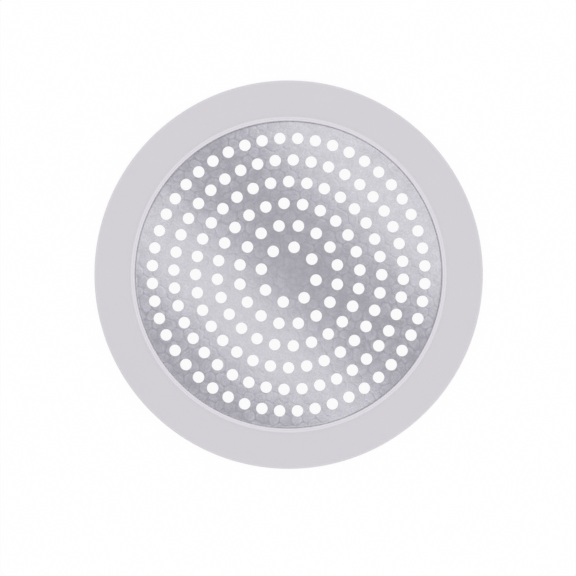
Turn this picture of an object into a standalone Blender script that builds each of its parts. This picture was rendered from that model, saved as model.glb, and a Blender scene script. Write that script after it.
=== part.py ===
# Drain hair catcher: a domed, perforated steel strainer disc held in a flat silicone rim.
# The rim lies on the shower floor round the drain, and the dome stands clear of the grate below it.
# Metres, +Z up. The origin is on the floor, under the centre of the disc.

from math import cos, pi, radians, sin, sqrt, tau

import bmesh
import bpy
from mathutils import Vector
from mathutils.geometry import delaunay_2d_cdt

MM = 0.001

# Gap that every seat keeps between the steel and the silicone
SEAT_GAP = 0.3 * MM

# Strainer disc, pressed from a punched flat blank
SHEET_THICKNESS = 0.6 * MM
DOME_RADIUS = 58.2 * MM  # out to the bend where the dome turns into the flange
DOME_RISE = 5.0 * MM  # from the flange to the top of the dome
FLANGE_WIDTH = 3.4 * MM

# Punched holes, in rings spread evenly between a plain centre and a plain edge
HOLE_RADIUS = 2.18 * MM
HOLE_RINGS = 6
HOLES_ADDED_PER_RING = 8
CENTRE_PLAIN_RADIUS = 8.26 * MM  # inside the holes of the first ring
EDGE_PLAIN_WIDTH = 4.78 * MM  # between the last ring's holes and the bend

# Silicone rim: a groove for the flange between the sill below it and the lip above it
SILL_HEIGHT = 1.9 * MM
SILL_REACH = 2.2 * MM  # how far the sill goes inwards past the bend
SILL_CHAMFER = 0.5 * MM
LIP_REACH = 0.6 * MM  # how far the lip covers the dome inside the bend
LIP_WIDTH = 2.0 * MM
LIP_PROUD = 0.5 * MM  # how far the lip stands above the band beside it
LIP_ROUNDING = 0.42 * MM
LIP_FOOT = 0.4 * MM  # width of the slope from the lip down to the band

# The rim's band, which slopes down from the lip to its outer edge and lies on the floor
COVER_THICKNESS = 0.9 * MM  # silicone over the groove, where the band begins
BAND_WIDTH = 13.0 * MM  # from the foot of the lip to the outer edge
EDGE_ROUNDING = 0.9 * MM
EDGE_LAND = 1.25 * MM  # upright part of the outer edge
HEEL_ROUNDING = 0.45 * MM

# Grip grooves in the underside of the band, counted inwards from its outer land
LAND_WIDTH = 3.4 * MM
GRIP_GROOVES = 2
GRIP_GROOVE_WIDTH = 1.5 * MM
GRIP_GROOVE_DEPTH = 0.7 * MM
GRIP_GROOVE_DRAFT = 0.25 * MM
GRIP_RIB_WIDTH = 1.3 * MM

# How finely round shapes are cut into flats
TURN_STEPS = 96
HOLE_SIDES = 12
CORNER_STEPS = 2
SHARP_ANGLE = radians(35)
MERGE_DISTANCE = 0.01 * MM

# Radii and heights that follow from the sizes above
FIRST_RING_RADIUS = CENTRE_PLAIN_RADIUS + HOLE_RADIUS
LAST_RING_RADIUS = DOME_RADIUS - EDGE_PLAIN_WIDTH - HOLE_RADIUS
RING_PITCH = (LAST_RING_RADIUS - FIRST_RING_RADIUS) / (HOLE_RINGS - 1)
FLANGE_LEVEL = SILL_HEIGHT + SEAT_GAP
FLANGE_RADIUS = DOME_RADIUS + FLANGE_WIDTH
GROOVE_BACK_RADIUS = FLANGE_RADIUS + SEAT_GAP
GROOVE_ROOF = FLANGE_LEVEL + SHEET_THICKNESS + SEAT_GAP
SILL_RADIUS = DOME_RADIUS - SILL_REACH
LIP_INNER_RADIUS = DOME_RADIUS - LIP_REACH
LIP_OUTER_RADIUS = LIP_INNER_RADIUS + LIP_WIDTH
BAND_INNER_RADIUS = LIP_OUTER_RADIUS + LIP_FOOT
BAND_TOP = GROOVE_ROOF + COVER_THICKNESS
LIP_TOP = BAND_TOP + LIP_PROUD
RIM_RADIUS = BAND_INNER_RADIUS + BAND_WIDTH
EDGE_TOP = HEEL_ROUNDING + EDGE_LAND + EDGE_ROUNDING

STEEL = {"name": "satin_steel", "colour": (0.50, 0.49, 0.54), "roughness": 0.32, "metallic": 1.0}
SILICONE = {"name": "grey_silicone", "colour": (0.65, 0.63, 0.67), "roughness": 0.55, "metallic": 0.0}


def clear_scene():
    for old in list(bpy.data.objects):
        bpy.data.objects.remove(old, do_unlink=True)


def make_material(finish):
    material = bpy.data.materials.new(finish["name"])
    material.use_nodes = True
    shader = material.node_tree.nodes["Principled BSDF"]
    shader.inputs["Base Color"].default_value = (*finish["colour"], 1.0)
    shader.inputs["Roughness"].default_value = finish["roughness"]
    shader.inputs["Metallic"].default_value = finish["metallic"]
    return material


def add_piece(name, bm, finish, parent):
    mesh = bpy.data.meshes.new(name)
    bm.to_mesh(mesh)
    bm.free()
    piece = bpy.data.objects.new(name, mesh)
    bpy.context.scene.collection.objects.link(piece)
    piece.parent = parent
    mesh.materials.append(make_material(finish))
    return piece


def shade_piece(piece):
    """Applies the piece's modifiers and shades it smooth, apart from its real corners."""
    bpy.context.view_layer.update()
    graph = bpy.context.evaluated_depsgraph_get()
    mesh = bpy.data.meshes.new_from_object(piece.evaluated_get(graph), depsgraph=graph)
    mesh.name = piece.name
    mesh.shade_smooth()
    mesh.set_sharp_from_angle(angle=SHARP_ANGLE)
    piece.modifiers.clear()
    piece.data = mesh


def circle(radius, count, centre=(0, 0)):
    """Points spaced evenly round a circle in the plane of the blank, the first towards +X."""
    turns = [tau * n / count for n in range(count)]
    return [Vector((centre[0] + radius * cos(t), centre[1] + radius * sin(t))) for t in turns]


def arc(centre, radius, start, end):
    """Points of a rounded corner in a turned profile, from one angle to another."""
    turns = [start + (end - start) * n / CORNER_STEPS for n in range(CORNER_STEPS + 1)]
    return [(centre[0] + radius * cos(t), centre[1] + radius * sin(t)) for t in turns]


def dome_height(radius):
    """How far the press lifts the sheet above its flange: a shallow ball inside the bend."""
    if radius >= DOME_RADIUS:
        return 0
    ball_radius = (DOME_RADIUS**2 + DOME_RISE**2) / (2 * DOME_RISE)
    return sqrt(ball_radius**2 - radius**2) - ball_radius + DOME_RISE


def hole_centres():
    """Each ring has more holes than the one inside it, and they all start on the +X axis."""
    centres = []
    for ring in range(HOLE_RINGS):
        centres += circle(FIRST_RING_RADIUS + ring * RING_PITCH, HOLES_ADDED_PER_RING * (ring + 1))
    return centres


def punched_blank():
    """The flat blank as points and triangles, with its holes left open."""
    outlines = [circle(HOLE_RADIUS, HOLE_SIDES, centre) for centre in hole_centres()]
    holes = len(outlines)
    outlines += [circle(DOME_RADIUS, TURN_STEPS), circle(FLANGE_RADIUS, TURN_STEPS)]
    points, edges, outline_of = [], [], []
    for index, outline in enumerate(outlines):
        first, count = len(points), len(outline)
        points += outline
        outline_of += [index] * count
        edges += [(first + n, first + (n + 1) % count) for n in range(count)]
    points.append(Vector((0, 0)))
    outline_of.append(len(outlines))
    points, _, triangles, *_ = delaunay_2d_cdt(points, edges, [], 0, 0, False)

    def is_slug(triangle):
        touched = {outline_of[corner] for corner in triangle}
        return len(touched) == 1 and min(touched) < holes

    return points, [triangle for triangle in triangles if not is_slug(triangle)]


def make_strainer_disc(parent):
    points, triangles = punched_blank()
    bm = bmesh.new()
    corners = [bm.verts.new((*point, FLANGE_LEVEL + dome_height(point.length))) for point in points]
    for triangle in triangles:
        bm.faces.new([corners[n] for n in triangle])
    disc = add_piece("strainer_disc", bm, STEEL, parent)
    sheet = disc.modifiers.new("Sheet", "SOLIDIFY")
    sheet.thickness = SHEET_THICKNESS
    sheet.offset = 1
    sheet.use_even_offset = True
    shade_piece(disc)


def underside_points():
    """The rim's underside from its outer land inwards, with the grip grooves cut up into it."""
    points = []
    outer = RIM_RADIUS - LAND_WIDTH
    for _ in range(GRIP_GROOVES):
        inner = outer - GRIP_GROOVE_WIDTH
        points.append((outer, 0))
        points.append((outer - GRIP_GROOVE_DRAFT, GRIP_GROOVE_DEPTH))
        points.append((inner + GRIP_GROOVE_DRAFT, GRIP_GROOVE_DEPTH))
        points.append((inner, 0))
        outer = inner - GRIP_RIB_WIDTH
    return points


def rim_profile():
    """The rim's section as radii and heights, from the lip down the outer side and back up the inner one."""
    lip_arc_height = LIP_TOP - LIP_ROUNDING
    lip = arc((LIP_INNER_RADIUS + LIP_ROUNDING, lip_arc_height), LIP_ROUNDING, pi, pi / 2)
    lip += arc((LIP_OUTER_RADIUS - LIP_ROUNDING, lip_arc_height), LIP_ROUNDING, pi / 2, 0)
    band = [(BAND_INNER_RADIUS, BAND_TOP)]
    band += arc((RIM_RADIUS - EDGE_ROUNDING, EDGE_TOP - EDGE_ROUNDING), EDGE_ROUNDING, pi / 2, 0)
    band += arc((RIM_RADIUS - HEEL_ROUNDING, HEEL_ROUNDING), HEEL_ROUNDING, 0, -pi / 2)
    sill = [
        (SILL_RADIUS, 0),
        (SILL_RADIUS, SILL_HEIGHT - SILL_CHAMFER),
        (SILL_RADIUS + SILL_CHAMFER, SILL_HEIGHT),
    ]
    groove = [
        (GROOVE_BACK_RADIUS, SILL_HEIGHT),
        (GROOVE_BACK_RADIUS, GROOVE_ROOF),
        (DOME_RADIUS, GROOVE_ROOF),
        (LIP_INNER_RADIUS, GROOVE_ROOF + dome_height(LIP_INNER_RADIUS)),
    ]
    return lip + band + underside_points() + sill + groove


def make_silicone_rim(parent):
    bm = bmesh.new()
    corners = [bm.verts.new((radius, 0, height)) for radius, height in rim_profile()]
    for here, there in zip(corners, corners[1:] + corners[:1]):
        bm.edges.new((here, there))
    rim = add_piece("silicone_rim", bm, SILICONE, parent)
    turn = rim.modifiers.new("Turn", "SCREW")
    turn.steps = TURN_STEPS
    turn.render_steps = TURN_STEPS
    turn.use_merge_vertices = True
    turn.merge_threshold = MERGE_DISTANCE
    shade_piece(rim)


clear_scene()
catcher = bpy.data.objects.new("drain_hair_catcher", None)
bpy.context.scene.collection.objects.link(catcher)
make_strainer_disc(catcher)
make_silicone_rim(catcher)
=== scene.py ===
# Drain hair catcher: a pressed steel strainer held in a moulded silicone rim, seen from straight above.
# Metres, +Z up. The frame's two nodes are each replaced by a finer piece in the same place.

from math import asin, cos, degrees, radians, sin, sqrt, tan, tau

import bpy
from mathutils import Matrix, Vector


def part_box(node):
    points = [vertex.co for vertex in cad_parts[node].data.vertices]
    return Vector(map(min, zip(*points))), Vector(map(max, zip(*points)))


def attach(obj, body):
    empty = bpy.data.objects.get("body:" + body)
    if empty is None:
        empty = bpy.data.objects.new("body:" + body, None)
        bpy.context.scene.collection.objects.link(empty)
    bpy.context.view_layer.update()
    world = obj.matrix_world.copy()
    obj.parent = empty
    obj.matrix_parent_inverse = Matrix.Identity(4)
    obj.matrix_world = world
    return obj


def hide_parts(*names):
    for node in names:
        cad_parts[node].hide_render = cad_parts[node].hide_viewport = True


mm = 0.001
mergeDistance = 0.001 * mm

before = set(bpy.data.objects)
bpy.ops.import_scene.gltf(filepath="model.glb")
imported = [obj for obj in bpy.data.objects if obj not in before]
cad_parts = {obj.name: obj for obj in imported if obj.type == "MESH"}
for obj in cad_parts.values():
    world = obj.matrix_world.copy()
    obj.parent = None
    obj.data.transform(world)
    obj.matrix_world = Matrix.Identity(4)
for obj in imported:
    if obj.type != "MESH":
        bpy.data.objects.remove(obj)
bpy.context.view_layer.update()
scene = bpy.context.scene
scene.view_settings.view_transform = "Standard"
discLow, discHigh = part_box("strainer_disc")
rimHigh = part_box("silicone_rim")[1]
print("frame loaded:", ", ".join(sorted(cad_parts)))


# Picking, drawing and turning

def deselectAll():
    if bpy.context.mode != "OBJECT":
        bpy.ops.object.mode_set(mode="OBJECT")
    bpy.ops.object.select_all(action="DESELECT")


def pickOnly(piece):
    deselectAll()
    piece.select_set(True)
    bpy.context.view_layer.objects.active = piece


def editAll(piece):
    pickOnly(piece)
    bpy.ops.object.mode_set(mode="EDIT")
    bpy.ops.mesh.select_mode(type="VERT")
    bpy.ops.mesh.select_all(action="SELECT")


def pickVertices(piece, isWanted):  # stays in edit mode, with only the wanted vertices picked
    editAll(piece)
    bpy.ops.mesh.select_all(action="DESELECT")
    bpy.ops.object.mode_set(mode="OBJECT")
    for vertex in piece.data.vertices:
        vertex.select = isWanted(vertex)
    bpy.ops.object.mode_set(mode="EDIT")


def rounded(centre, radius, start, end, steps):  # points of a rounded corner, angles in degrees
    turns = [radians(start + (end - start) * n / steps) for n in range(steps + 1)]
    return [(centre[0] + radius * cos(turn), centre[1] + radius * sin(turn)) for turn in turns]


def drawLine(name, points):  # points are radii and heights, drawn one after another
    deselectAll()
    bpy.ops.mesh.primitive_plane_add(size=mm, location=(0, 0, 0))
    piece = bpy.context.object
    piece.name = name
    piece.data.name = name
    editAll(piece)
    bpy.ops.mesh.merge(type="CENTER")
    bpy.ops.transform.translate(value=(points[0][0], 0, points[0][1]))
    for here, there in zip(points, points[1:]):
        step = (there[0] - here[0], 0, there[1] - here[1])
        bpy.ops.mesh.extrude_vertices_move(TRANSFORM_OT_translate={"value": step})
    bpy.ops.object.mode_set(mode="OBJECT")
    return piece


def closeLine(piece):  # joins the two ends of a drawn line
    last = len(piece.data.vertices) - 1
    pickVertices(piece, lambda vertex: vertex.index in (0, last))
    bpy.ops.mesh.edge_face_add()
    bpy.ops.object.mode_set(mode="OBJECT")


def turnRound(piece, steps):  # spins a drawn line about the catcher's axis
    editAll(piece)
    bpy.ops.mesh.spin(steps=steps, angle=tau, center=(0, 0, 0), axis=(0, 0, 1))
    bpy.ops.mesh.select_all(action="SELECT")
    bpy.ops.mesh.remove_doubles(threshold=mergeDistance)
    bpy.ops.mesh.normals_make_consistent(inside=False)
    bpy.ops.object.mode_set(mode="OBJECT")


def finishPiece(piece, material, nodeName, sharpAngle):
    pickOnly(piece)
    piece.data.materials.clear()
    piece.data.materials.append(material)
    bpy.ops.object.shade_smooth_by_angle(angle=radians(sharpAngle))
    deselectAll()
    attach(piece, "root")
    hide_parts(nodeName)
    mesh = piece.data
    print(piece.name, "finished:", len(mesh.vertices), "vertices,", len(mesh.polygons), "faces")


# The camera looks straight down, turned so that the spokes of holes lie as photographed

view = {
    "distance": 2,  # above the rim
    "width": 216.15 * mm,  # what the picture takes in at the rim
    "sensor": 36,
    "roll": 11.3,
    "catcherAcross": 0.245 * mm,  # where the catcher's centre lies in the picture
    "catcherUp": 5.02 * mm,
}


def setCamera():
    cameraData = bpy.data.cameras.new("overheadCamera")
    camera = bpy.data.objects.new("overheadCamera", cameraData)
    scene.collection.objects.link(camera)
    cameraData.sensor_width = view["sensor"]
    cameraData.lens = view["sensor"] * view["distance"] / view["width"]
    roll = radians(view["roll"])
    across = Vector((cos(roll), sin(roll), 0))
    up = Vector((-sin(roll), cos(roll), 0))
    camera.location = -view["catcherAcross"] * across - view["catcherUp"] * up
    camera.location.z = rimHigh.z + view["distance"]
    camera.rotation_euler = (0, 0, roll)
    scene.camera = camera
    print("camera set, lens", round(cameraData.lens), "mm")


# Nodes and shared effects

def addNode(tree, kind, values=None, **settings):
    node = tree.nodes.new("ShaderNode" + kind)
    for name, value in settings.items():
        setattr(node, name, value)
    for socket, value in (values or {}).items():
        if isinstance(value, bpy.types.NodeSocket):
            tree.links.new(value, node.inputs[socket])
        else:
            node.inputs[socket].default_value = value
    return node


def calculate(tree, operation, first, second):
    return addNode(tree, "Math", {0: first, 1: second}, operation=operation).outputs[0]


def calculateVector(tree, operation, first, second=(0, 0, 0)):
    return addNode(tree, "VectorMath", {0: first, 1: second}, operation=operation).outputs[0]


def measure(tree, vector):
    return addNode(tree, "VectorMath", {0: vector}, operation="LENGTH").outputs["Value"]


def softStep(tree, value, start, end):  # 0 at the start, 1 at the end
    ends = {"Value": value, "From Min": start, "From Max": end}
    return addNode(tree, "MapRange", ends, interpolation_type="SMOOTHSTEP").outputs[0]


def mapped(tree, value, start, end, startValue, endValue):  # clamped to its two ends
    ends = {"Value": value, "From Min": start, "From Max": end, "To Min": startValue, "To Max": endValue}
    return addNode(tree, "MapRange", ends).outputs[0]


def addUp(tree, total, *others):
    for other in others:
        total = calculate(tree, "ADD", total, other)
    return total


def vary(tree, noise, middle, spread):  # noise lies round a half
    values = {0: noise, 1: spread, 2: middle - spread / 2}
    return addNode(tree, "Math", values, operation="MULTIPLY_ADD").outputs[0]


def scaled(tree, vector, factor):  # a colour is scaled in the same way
    return addNode(tree, "VectorMath", {0: vector, "Scale": factor}, operation="SCALE").outputs[0]


def axisDistance(tree):
    place = addNode(tree, "TexCoord").outputs["Object"]
    return measure(tree, calculateVector(tree, "MULTIPLY", place, (1, 1, 0)))


def newMaterial(name):
    material = bpy.data.materials.new(name)
    material.use_nodes = True
    return material, material.node_tree


def newEffect(name, inputs, outputs):
    effect = bpy.data.node_groups.new(name, "ShaderNodeTree")
    for way, socketNames in (("INPUT", inputs), ("OUTPUT", outputs)):
        for socketName in socketNames:
            effect.interface.new_socket(socketName, in_out=way, socket_type="NodeSocketFloat")
    return effect, effect.nodes.new("NodeGroupInput").outputs, effect.nodes.new("NodeGroupOutput").inputs


def useEffect(tree, effect, values):
    return addNode(tree, "Group", values, node_tree=effect).outputs


surfaceNoise = {  # fine grain, and broader soft clouding
    "Grain": {"Detail": 3, "Roughness": 0.6},
    "Cloud": {"Detail": 2, "Roughness": 0.5},
}


def makeGrainEffect():
    effect, given, made = newEffect("surfaceGrain", ["Grain Size", "Cloud Size"], ["Grain", "Cloud"])
    place = addNode(effect, "TexCoord").outputs["Object"]
    for kind, noiseValues in surfaceNoise.items():
        scale = calculate(effect, "DIVIDE", 1, given[kind + " Size"])
        noise = addNode(effect, "TexNoise", {"Vector": place, "Scale": scale, **noiseValues})
        effect.links.new(noise.outputs[0], made[kind])
    return effect


def makeBandEffect():  # a soft-edged ring about the axis, from one radius to another
    effect, given, made = newEffect("radiusBand", ["Inner", "Outer", "Softness"], ["Mask"])
    radius = axisDistance(effect)
    sides = []
    for edge in ("Inner", "Outer"):
        start = calculate(effect, "SUBTRACT", given[edge], given["Softness"])
        end = calculate(effect, "ADD", given[edge], given["Softness"])
        sides.append(softStep(effect, radius, start, end))
    effect.links.new(calculate(effect, "SUBTRACT", sides[0], sides[1]), made["Mask"])
    return effect


surfaceGrain = makeGrainEffect()
radiusBand = makeBandEffect()


def ringMask(tree, inner, outer, softness):
    return useEffect(tree, radiusBand, {"Inner": inner, "Outer": outer, "Softness": softness})["Mask"]


# Strainer: punched holes joined by a flat sheet, which is then pressed into its dome

strainer = {
    "sheet": 0.6 * mm,
    "domeRadius": 58.2 * mm,
    "firstRing": 10.44 * mm,
    "ringPitch": 8.16 * mm,
    "rings": 6,
    "holesAddedPerRing": 8,
    "holeRadius": 2.18 * mm,
    "holeSides": 24,
    "punchRounding": 0.04 * mm,  # where the punch drew the sheet in
    "holeLand": 0.03 * mm,  # flat left round the drawn edge
    "edgeRounding": 0.2 * mm,
    "edgeSteps": 3,
    "sidesPerRing": 48,  # how the sheet between the rings is cut up
    "sharpAngle": 50,
}

steel = {
    "colour": (0.52, 0.51, 0.555),
    "roughness": 0.21,
    "padPitch": 4.6 * mm,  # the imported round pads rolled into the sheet
    "padTurn": 11.3,  # degrees, as the camera's roll
    "padWander": 1.6 * mm,  # how far the rows stray from straight
    "padDrift": 0.45,  # how soon they stray, against the pitch
    "padHeight": 0.008 * mm,
    "padSide": (0.56, 0.35),  # in pitches from a pad's middle: where its side starts and ends
    "padHollow": 0.2,  # how far a pad's middle falls back towards the seam's tone, a painted shade in its dimple
    "hollowSide": (0.36, 0.22),
    "padAverage": 0.745,  # over the whole sheet, so that the pads change no tone overall
    "hollowAverage": 0.31,
    "padPaintedShading": 0.066,  # painted shade and highlight: how much darker the seams are than the pads' shoulders, standing in for the light on the pads' low relief
    "seamPolish": 0.055,  # and how much smoother
    "fadingClouds": (0.35, 0.65),  # the clouding at which the pads are faintest and strongest
    "fadingRange": (0.05, 1.9),  # and how strong they then are
    "grainSize": 0.72 * mm,
    "grainHeight": 0.005 * mm,
    "grainTone": 0.32,
    "cloudSize": 4 * mm,
    "cloudTone": 0.28,
    "cloudPolish": 0.06,  # how much the clouding changes the roughness
    "marksInside": 0.5,  # how strong all these marks are in the middle of the sheet
    "marksOutside": 1.34,  # and at its bend
    "shearedRoughness": 0.18,
}


def packPads(tree):  # two crossed grids make rows of pads, each row half a pad along from the next
    pitch = steel["padPitch"]
    place = addNode(tree, "TexCoord").outputs["Object"]
    noise = addNode(tree, "TexNoise", {"Vector": place, "Scale": steel["padDrift"] / pitch, "Detail": 1})
    wander = scaled(tree, noise.outputs["Color"], 4 * steel["padWander"])  # noise keeps near its middle
    moved = calculateVector(tree, "ADD", place, wander)
    turn = (0, 0, -radians(steel["padTurn"]))
    turned = addNode(tree, "Mapping", {"Vector": moved, "Rotation": turn}).outputs[0]
    grid = calculateVector(tree, "MULTIPLY", turned, (1 / pitch, 1 / (pitch * sqrt(3)), 0))
    reach = []
    for start in (0, 0.5):
        along = calculateVector(tree, "FRACTION", calculateVector(tree, "ADD", grid, (start, start, 0)))
        along = calculateVector(tree, "SUBTRACT", along, (0.5, 0.5, 0))
        reach.append(measure(tree, calculateVector(tree, "MULTIPLY", along, (1, sqrt(3), 0))))
    return calculate(tree, "MINIMUM", reach[0], reach[1])


def satinSteel():
    material, tree = newMaterial("satinSteel")
    shader = tree.nodes["Principled BSDF"]
    shader.inputs["Metallic"].default_value = 1
    grainSizes = {"Grain Size": steel["grainSize"], "Cloud Size": steel["cloudSize"]}
    grain = useEffect(tree, surfaceGrain, grainSizes)

    # the seams round the pads are darker and smoother, and come and go over the sheet; the darker seams
    # and hollows and paler shoulders are painted shade and highlight of the pads' low relief
    fromMiddle = packPads(tree)
    pads = softStep(tree, fromMiddle, *steel["padSide"])
    dip = softStep(tree, fromMiddle, *steel["hollowSide"])
    hollow = calculate(tree, "MULTIPLY", dip, steel["padHollow"])
    average = steel["padAverage"] - steel["hollowAverage"] * steel["padHollow"]
    relief = calculate(tree, "SUBTRACT", calculate(tree, "SUBTRACT", pads, hollow), average)
    fading = mapped(tree, grain["Cloud"], *steel["fadingClouds"], *steel["fadingRange"])
    relief = calculate(tree, "MULTIPLY", relief, fading)

    # the press left the middle plainer than the sheet near the bend
    bend = strainer["domeRadius"]
    strength = mapped(tree, axisDistance(tree), 0, bend, steel["marksInside"], steel["marksOutside"])

    # painted shade in the seams and hollows, painted highlight on the pads' shoulders
    padPaintedShading = calculate(tree, "MULTIPLY", relief, steel["padPaintedShading"])
    cloudTone = calculate(tree, "MULTIPLY", grain["Cloud"], steel["cloudTone"])
    grainTone = calculate(tree, "MULTIPLY", grain["Grain"], steel["grainTone"])
    lift = addUp(tree, padPaintedShading, cloudTone, grainTone, -(steel["cloudTone"] + steel["grainTone"]) / 2)
    tone = addUp(tree, calculate(tree, "MULTIPLY", lift, strength), 1)
    tree.links.new(scaled(tree, steel["colour"], tone), shader.inputs["Base Color"])

    sheared = addNode(tree, "Attribute", attribute_name="shearedEdge").outputs["Fac"]
    rougher = calculate(tree, "MULTIPLY", sheared, steel["shearedRoughness"])
    uneven = vary(tree, grain["Cloud"], steel["roughness"], steel["cloudPolish"])
    seamPolish = calculate(tree, "MULTIPLY", strength, steel["seamPolish"])
    polish = calculate(tree, "MULTIPLY", relief, seamPolish)
    tree.links.new(addUp(tree, uneven, rougher, polish), shader.inputs["Roughness"])

    padRelief = calculate(tree, "MULTIPLY", pads, strength)
    grainRelief = calculate(tree, "MULTIPLY", grain["Grain"], strength)
    padBump = addNode(tree, "Bump", {"Height": padRelief, "Distance": steel["padHeight"]})
    grainBump = addNode(tree, "Bump", {"Height": grainRelief, "Distance": steel["grainHeight"],
                                       "Normal": padBump.outputs[0]})
    tree.links.new(grainBump.outputs[0], shader.inputs["Normal"])
    return material


def pressedHeight(radius):  # a shallow ball inside the bend, as the press leaves it
    bend = strainer["domeRadius"]
    rise = discHigh.z - discLow.z - strainer["sheet"]
    if radius >= bend:
        return 0
    ball = (bend**2 + rise**2) / (2 * rise)
    return sqrt(ball**2 - radius**2) - ball + rise


def markSeam(piece, isSeam):  # remembers the edges that the sheet is filled in between
    marked = [vertex.index for vertex in piece.data.vertices if isSeam(vertex.co)]
    piece.vertex_groups.new(name="seam").add(marked, 1, "REPLACE")


def makeHole(low, high):
    wall = strainer["holeRadius"]
    drawn = wall + strainer["punchRounding"]
    outside = drawn + strainer["holeLand"]
    line = [(outside, high), (drawn, high), (wall, high - strainer["punchRounding"]), (wall, low)]
    hole = drawLine("punchedHole", line)
    turnRound(hole, strainer["holeSides"])
    floor, edge = low + mergeDistance, drawn + mergeDistance
    markSeam(hole, lambda place: place.z < floor or place.xy.length > edge)
    sheared = hole.data.attributes.new("shearedEdge", "FLOAT", "FACE")
    for face in hole.data.polygons:
        sheared.data[face.index].value = face.center.xy.length < wall
    return hole


def copyHoles(hole):  # every copy has a mesh of its own
    copies = []
    for ring in range(strainer["rings"]):
        ringRadius = strainer["firstRing"] + ring * strainer["ringPitch"]
        count = strainer["holesAddedPerRing"] * (ring + 1)
        for n in range(count):
            turn = tau * n / count
            pickOnly(hole)
            bpy.ops.object.duplicate(linked=False)
            copy = bpy.context.object
            copy.location = (ringRadius * cos(turn), ringRadius * sin(turn), 0)
            copy.rotation_euler.z = turn
            copies.append(copy)
    bpy.data.objects.remove(hole)
    return copies


def makeGuide(radius, height, sides):  # a circle between two rings of holes
    deselectAll()
    bpy.ops.mesh.primitive_circle_add(vertices=sides, radius=radius, location=(0, 0, height))
    circle = bpy.context.object
    markSeam(circle, lambda place: True)
    return circle


def makeCrown(radius, height, sides):  # the plain centre
    crown = drawLine("crown", [(0, height), (radius / 2, height), (radius, height)])
    turnRound(crown, sides)
    markSeam(crown, lambda place: place.xy.length > radius - mergeDistance)
    return crown


def makeEdge(inner, low, high, sides):  # from the last ring of holes round the flange and back below
    bend = strainer["domeRadius"]
    outer = discHigh.x
    soft, steps = strainer["edgeRounding"], strainer["edgeSteps"]
    across = [inner, inner + (bend - inner) / 2, bend, (bend + outer) / 2]
    line = [(radius, high) for radius in across]
    line += rounded((outer - soft, high - soft), soft, 90, 0, steps)
    line += rounded((outer - soft, low + soft), soft, 0, -90, steps)
    line += [(radius, low) for radius in reversed(across)]
    edge = drawLine("flangeEdge", line)
    turnRound(edge, sides)
    markSeam(edge, lambda place: place.xy.length < inner + mergeDistance)
    return edge


def fillSheet(disc, level, inner, outer):  # fills the sheet round one ring of holes, on one side
    seam = disc.vertex_groups["seam"].index

    def isWanted(vertex):
        inRing = inner - mergeDistance < vertex.co.xy.length < outer + mergeDistance
        atLevel = abs(vertex.co.z - level) < mergeDistance
        return inRing and atLevel and any(group.group == seam for group in vertex.groups)

    pickVertices(disc, isWanted)
    bpy.ops.mesh.fill(use_beauty=True)
    bpy.ops.object.mode_set(mode="OBJECT")


def makeStrainer():
    low = discLow.z
    high = low + strainer["sheet"]
    rings = strainer["rings"]
    borders = [strainer["firstRing"] + (ring - 0.5) * strainer["ringPitch"] for ring in range(rings + 1)]
    sides = [strainer["sidesPerRing"] * (ring + 1) for ring in range(rings + 1)]
    parts = copyHoles(makeHole(low, high))
    for level in (low, high):
        parts.append(makeCrown(borders[0], level, sides[0]))
        parts += [makeGuide(borders[ring], level, sides[ring]) for ring in range(1, rings)]
    parts.append(makeEdge(borders[-1], low, high, sides[-1]))
    deselectAll()
    for part in parts:
        part.select_set(True)
    bpy.context.view_layer.objects.active = parts[-1]
    bpy.ops.object.join()
    bpy.ops.object.transform_apply(location=True, rotation=True, scale=True)
    disc = bpy.context.object
    disc.name = "pressed_strainer"
    disc.data.name = disc.name
    print("blank punched:", len(disc.data.vertices), "vertices")
    for level in (low, high):
        for inner, outer in zip(borders, borders[1:]):
            fillSheet(disc, level, inner, outer)
    editAll(disc)
    bpy.ops.mesh.remove_doubles(threshold=mergeDistance)
    bpy.ops.mesh.normals_make_consistent(inside=False)
    bpy.ops.object.mode_set(mode="OBJECT")
    disc.vertex_groups.clear()
    for vertex in disc.data.vertices:
        vertex.co.z += pressedHeight(vertex.co.xy.length)
    finishPiece(disc, satinSteel(), "strainer_disc", strainer["sharpAngle"])


# Silicone rim: one turned section, with the lip over the strainer's edge and grip grooves below

rim = {
    "outlineGap": 0.005 * mm,  # the finer outline stays this far inside the frame's
    "lipInner": 57.6 * mm,
    "lipOuter": 59.6 * mm,
    "lipRounding": 0.38 * mm,
    "lipSteps": 4,
    "lipFoot": 1.4 * mm,
    "footEnd": 265,  # angle at which the foot's curve runs out into the band
    "lipProud": 0.5 * mm,
    "lipLean": 9,  # how far the inner face leans back from upright
    "lipGap": 0.12 * mm,  # the lip all but touches the steel
    "channelMiddle": 58.5 * mm,  # a shallow channel runs along the lip's top
    "channelWidth": 0.5 * mm,
    "channelDepth": 0.06 * mm,
    "seatGap": 0.3 * mm,
    "sillReach": 2.2 * mm,
    "sillRounding": 0.45 * mm,
    "sillSteps": 4,
    "edgeTop": 2.6 * mm,
    "edgeRounding": 0.9 * mm,
    "edgeSteps": 6,
    "heelRounding": 0.45 * mm,
    "heelSteps": 5,
    "bandCrown": 0.12 * mm,  # how far the band bulges between its two ends
    "bandSteps": 12,
    "partingHeight": 1.05 * mm,  # the fine line that the two halves of the mould leave
    "partingProud": 0.05 * mm,
    "landWidth": 3.4 * mm,
    "gripGrooves": 2,
    "gripWidth": 1.5 * mm,
    "gripDepth": 0.7 * mm,
    "gripDraft": 0.25 * mm,
    "gripRib": 1.3 * mm,
    "gripRounding": 0.15 * mm,
    "turnSteps": 240,
    "sharpAngle": 50,
}

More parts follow.
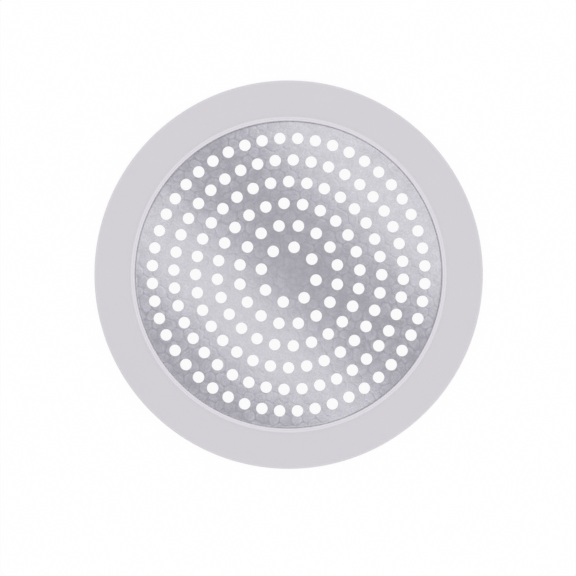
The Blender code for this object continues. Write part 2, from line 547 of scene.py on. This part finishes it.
silicone = {
    "colour": (0.647, 0.629, 0.675),
    "roughness": 0.55,
    "lipPaintedHighlight": 0.182,  # painted highlight: how much paler the lip is, standing in for the light its raised top catches and lets through the thin silicone
    "lipInset": 0.5 * mm,  # how far inside the lip's outer side that painted highlight fades
    "lipSoftness": 0.4 * mm,
    "channelPaintedShade": 0.165,  # painted shade: how much darker the lip's channel is, where shade falls in the groove
    "edgePaintedHighlight": 0.06,  # painted highlight: how much paler the outer edge is, where its rounding catches the light
    "edgeWidth": 0.7 * mm,
    "edgeSoftness": 0.3 * mm,
    "grainSize": 0.35 * mm,
    "grainHeight": 0.004 * mm,
    "grainPolish": 0.1,  # how much the grain changes the roughness
    "cloudSize": 14 * mm,
    "cloudTone": 0.02,
}


def greySilicone():
    material, tree = newMaterial("greySilicone")
    shader = tree.nodes["Principled BSDF"]
    grainSizes = {"Grain Size": silicone["grainSize"], "Cloud Size": silicone["cloudSize"]}
    grain = useEffect(tree, surfaceGrain, grainSizes)
    lip = ringMask(tree, rim["lipInner"], rim["lipOuter"] - silicone["lipInset"], silicone["lipSoftness"])
    middle, reach = rim["channelMiddle"], rim["channelWidth"] / 4  # fades out at the channel's sides
    channel = ringMask(tree, middle - reach, middle + reach, reach)
    outer = rimHigh.x
    edge = ringMask(tree, outer - silicone["edgeWidth"], 2 * outer, silicone["edgeSoftness"])

    # painted highlight on the lip's raised top
    lipPaintedHighlight = calculate(tree, "MULTIPLY", lip, silicone["lipPaintedHighlight"])
    # painted shade in the shallow channel along the lip's top
    channelPaintedShade = calculate(tree, "MULTIPLY", channel, -silicone["channelPaintedShade"])
    # painted highlight along the rim's rounded outer edge
    edgePaintedHighlight = calculate(tree, "MULTIPLY", edge, silicone["edgePaintedHighlight"])
    clouding = vary(tree, grain["Cloud"], 1, silicone["cloudTone"])
    tone = addUp(tree, lipPaintedHighlight, channelPaintedShade, edgePaintedHighlight, clouding)
    tree.links.new(scaled(tree, silicone["colour"], tone), shader.inputs["Base Color"])

    uneven = vary(tree, grain["Grain"], silicone["roughness"], silicone["grainPolish"])
    tree.links.new(uneven, shader.inputs["Roughness"])
    bump = addNode(tree, "Bump", {"Height": grain["Grain"], "Distance": silicone["grainHeight"]})
    tree.links.new(bump.outputs[0], shader.inputs["Normal"])
    return material


def gripLine(outer):
    width, depth, draft, soft = rim["gripWidth"], rim["gripDepth"], rim["gripDraft"], rim["gripRounding"]
    line = []
    for _ in range(rim["gripGrooves"]):
        inner = outer - width
        line += [(outer + soft, 0), (outer, soft / 2)]
        line += [(outer - draft, depth - soft), (outer - draft - soft, depth)]
        line += [(inner + draft + soft, depth), (inner + draft, depth - soft)]
        line += [(inner, soft / 2), (inner - soft, 0)]
        outer = inner - rim["gripRib"]
    return line


def bandLine(start, end, steps):  # the sloping band, slightly crowned
    line = []
    for n in range(1, steps):
        share = n / steps
        bulge = rim["bandCrown"] * 4 * share * (1 - share)
        radius = start[0] + (end[0] - start[0]) * share
        line.append((radius, start[1] + (end[1] - start[1]) * share + bulge))
    return line


def channelLine(top):
    middle, reach, low = rim["channelMiddle"], rim["channelWidth"] / 2, top - rim["channelDepth"]
    line = [(middle - reach, top), (middle - reach / 2, low)]
    return line + [(middle + reach / 2, low), (middle + reach, top)]


def lipLine(start, top):  # up the leaning inner face, over the top and down into the band
    soft, foot, lean = rim["lipRounding"], rim["lipFoot"], rim["lipLean"]
    faceTop = top - soft + soft * sin(radians(lean))
    slant = (faceTop - start[1]) * tan(radians(lean))
    inner = start[0] + slant + soft * cos(radians(lean))
    turn = degrees(asin(1 - rim["lipProud"] / (soft + foot)))
    outer, steps = rim["lipOuter"] - soft, rim["lipSteps"]
    footCentre = (outer + (soft + foot) * cos(radians(turn)), top - rim["lipProud"] + foot)
    line = [start, (start[0] + slant / 2, (start[1] + faceTop) / 2)]
    line += rounded((inner, top - soft), soft, 180 - lean, 90, steps) + channelLine(top)
    line += rounded((outer, top - soft), soft, 90, turn, steps)
    return line + rounded(footCentre, foot, 180 + turn, rim["footEnd"], steps)[1:]


def makeRim():
    outer, top = rimHigh.x - rim["outlineGap"], rimHigh.z
    edge, heel = rim["edgeRounding"], rim["heelRounding"]
    proud, parting = rim["partingProud"], rim["partingHeight"]
    wall = outer - proud
    flangeTop = discLow.z + strainer["sheet"]
    start = rim["lipInner"]
    line = lipLine((start, flangeTop + pressedHeight(start) + rim["lipGap"]), top)
    bandStart = line[-1]
    bandEnd = (wall - edge, rim["edgeTop"])
    line += bandLine(bandStart, bandEnd, rim["bandSteps"])
    line += rounded((wall - edge, rim["edgeTop"] - edge), edge, 90, 0, rim["edgeSteps"])
    line += [(wall, parting + proud), (outer, parting), (wall, parting - proud)]
    line += rounded((wall - heel, heel), heel, 0, -90, rim["heelSteps"])
    line += gripLine(outer - rim["landWidth"])

    # the sill under the flange, then the groove that holds it
    bend, gap, sillSoft = strainer["domeRadius"], rim["seatGap"], rim["sillRounding"]
    sill, sillTop = bend - rim["sillReach"], discLow.z - gap
    roof, back = flangeTop + gap, discHigh.x + gap
    line += [(sill + sillSoft / 3, 0), (sill, sillSoft / 3)]
    line += rounded((sill + sillSoft, sillTop - sillSoft), sillSoft, 180, 90, rim["sillSteps"])
    line += [(back, sillTop), (back, roof), (bend, roof)]
    ring = drawLine("moulded_rim", line)
    closeLine(ring)
    turnRound(ring, rim["turnSteps"])
    finishPiece(ring, greySilicone(), "silicone_rim", rim["sharpAngle"])


# Studio: pale floor and world, and two long strip lamps that draw the bright bands on the steel

studio = {
    "floorSize": 8,
    "floorDrop": 0.02 * mm,
    "floorColour": (0.95, 0.95, 0.95, 1),
    "floorRoughness": 0.9,
    "floorWhite": 0.92,  # the rest of the floor takes the light and the shadow
    "white": (1, 1, 1, 1),
    "horizonEnd": 0.7,  # height in the sky, 1 straight above, up to which the room is white
    "overheadStart": 0.9,  # and from which it has its overhead tone
    "overhead": 0.688,  # how bright the room is straight above, seen in the steel
    "overheadColour": (0.995, 1, 1.045, 1),
    "cameraShade": 0.62,  # the camera's own soft reflection, right above
    "cameraReach": 7,  # and how many degrees it spreads
    "light": 0.905,
}

lamps = {
    "nearStrip": {"azimuth": 236.3, "lean": 9.8, "length": 1.8, "width": 0.315, "radiance": 0.523},
    "farStrip": {"azimuth": 56.3, "lean": 19, "length": 1.8, "width": 0.37, "radiance": 0.527},
    "height": 1.5,
    "colour": (1, 0.995, 0.92),
}

card = {  # hangs below one corner of the near strip, so that the steel doesn't mirror that corner
    "reach": 0.38,
    "side": 0.4,
    "height": 1.35,
    "width": 0.12,
    "length": 0.38,
    "turn": 18.7,
}


def seenRays(tree):  # 1 for the rays that should find the plain background
    ray = addNode(tree, "LightPath").outputs
    reflected = calculate(tree, "MAXIMUM", ray["Is Glossy Ray"], ray["Is Transmission Ray"])
    return calculate(tree, "MAXIMUM", ray["Is Camera Ray"], reflected)


def makeFloor():
    deselectAll()
    bpy.ops.mesh.primitive_plane_add(size=studio["floorSize"], location=(0, 0, -studio["floorDrop"]))
    floor = bpy.context.object
    floor.name = "paleFloor"
    material, tree = newMaterial("paleFloor")
    shader = tree.nodes["Principled BSDF"]
    shader.inputs["Base Color"].default_value = studio["floorColour"]
    shader.inputs["Roughness"].default_value = studio["floorRoughness"]
    shader.inputs["Specular IOR Level"].default_value = 0
    share = calculate(tree, "MULTIPLY", seenRays(tree), studio["floorWhite"])
    glow = addNode(tree, "Emission", {"Color": studio["white"]})
    mix = addNode(tree, "MixShader", {0: share, 1: shader.outputs[0], 2: glow.outputs[0]})
    tree.links.new(mix.outputs[0], tree.nodes["Material Output"].inputs["Surface"])
    floor.data.materials.append(material)


def setWorld():
    world = bpy.data.worlds.new("paleStudio")
    scene.world = world
    world.use_nodes = True
    tree = world.node_tree
    tree.nodes.clear()
    direction = addNode(tree, "TexCoord").outputs["Generated"]
    height = addNode(tree, "SeparateXYZ", {0: direction}).outputs["Z"]
    fade = mapped(tree, height, studio["horizonEnd"], studio["overheadStart"], 0, 1)
    horizon = addNode(tree, "Background", {"Color": studio["white"]})
    shadeStart = cos(radians(studio["cameraReach"]))
    above = mapped(tree, height, shadeStart, 1, studio["overhead"], studio["cameraShade"])
    overhead = addNode(tree, "Background", {"Color": studio["overheadColour"], "Strength": above})
    seen = addNode(tree, "MixShader", {0: fade, 1: horizon.outputs[0], 2: overhead.outputs[0]})
    light = addNode(tree, "Background", {"Color": studio["white"], "Strength": studio["light"]})
    mix = addNode(tree, "MixShader", {0: seenRays(tree), 1: light.outputs[0], 2: seen.outputs[0]})
    output = addNode(tree, "OutputWorld")
    tree.links.new(mix.outputs[0], output.inputs["Surface"])


def addStrip(name):
    lamp = lamps[name]
    lampData = bpy.data.lights.new(name, "AREA")
    lampData.shape = "RECTANGLE"
    lampData.size = lamp["width"]
    lampData.size_y = lamp["length"]
    lampData.color = lamps["colour"]
    lampData.energy = 4 * lamp["radiance"] * lamp["width"] * lamp["length"]  # watts for that radiance
    strip = bpy.data.objects.new(name, lampData)
    scene.collection.objects.link(strip)
    turn, lean = radians(lamp["azimuth"]), radians(lamp["lean"])
    reach = lamps["height"] * tan(lean)
    strip.location = (reach * cos(turn), reach * sin(turn), lamps["height"])
    strip.rotation_euler = (0, lean, turn)


def addCard():
    azimuth = radians(lamps["nearStrip"]["azimuth"])
    place = card["reach"] * Vector((cos(azimuth), sin(azimuth), 0))
    place += card["side"] * Vector((-sin(azimuth), cos(azimuth), 0))
    deselectAll()
    bpy.ops.mesh.primitive_plane_add(size=1, location=(place.x, place.y, card["height"]))
    sheet = bpy.context.object
    sheet.name = "greyCard"
    sheet.scale = (card["width"], card["length"], 1)
    sheet.rotation_euler.z = azimuth + radians(card["turn"])
    sheet.visible_camera = False
    sheet.visible_diffuse = False
    sheet.visible_shadow = False
    material, tree = newMaterial("greyCard")
    glow = addNode(tree, "Emission", {"Color": studio["overheadColour"], "Strength": studio["overhead"]})
    tree.links.new(glow.outputs[0], tree.nodes["Material Output"].inputs["Surface"])
    sheet.data.materials.append(material)


setCamera()
setWorld()
makeFloor()
addStrip("nearStrip")
addStrip("farStrip")
addCard()
print("studio set")
makeStrainer()
makeRim()
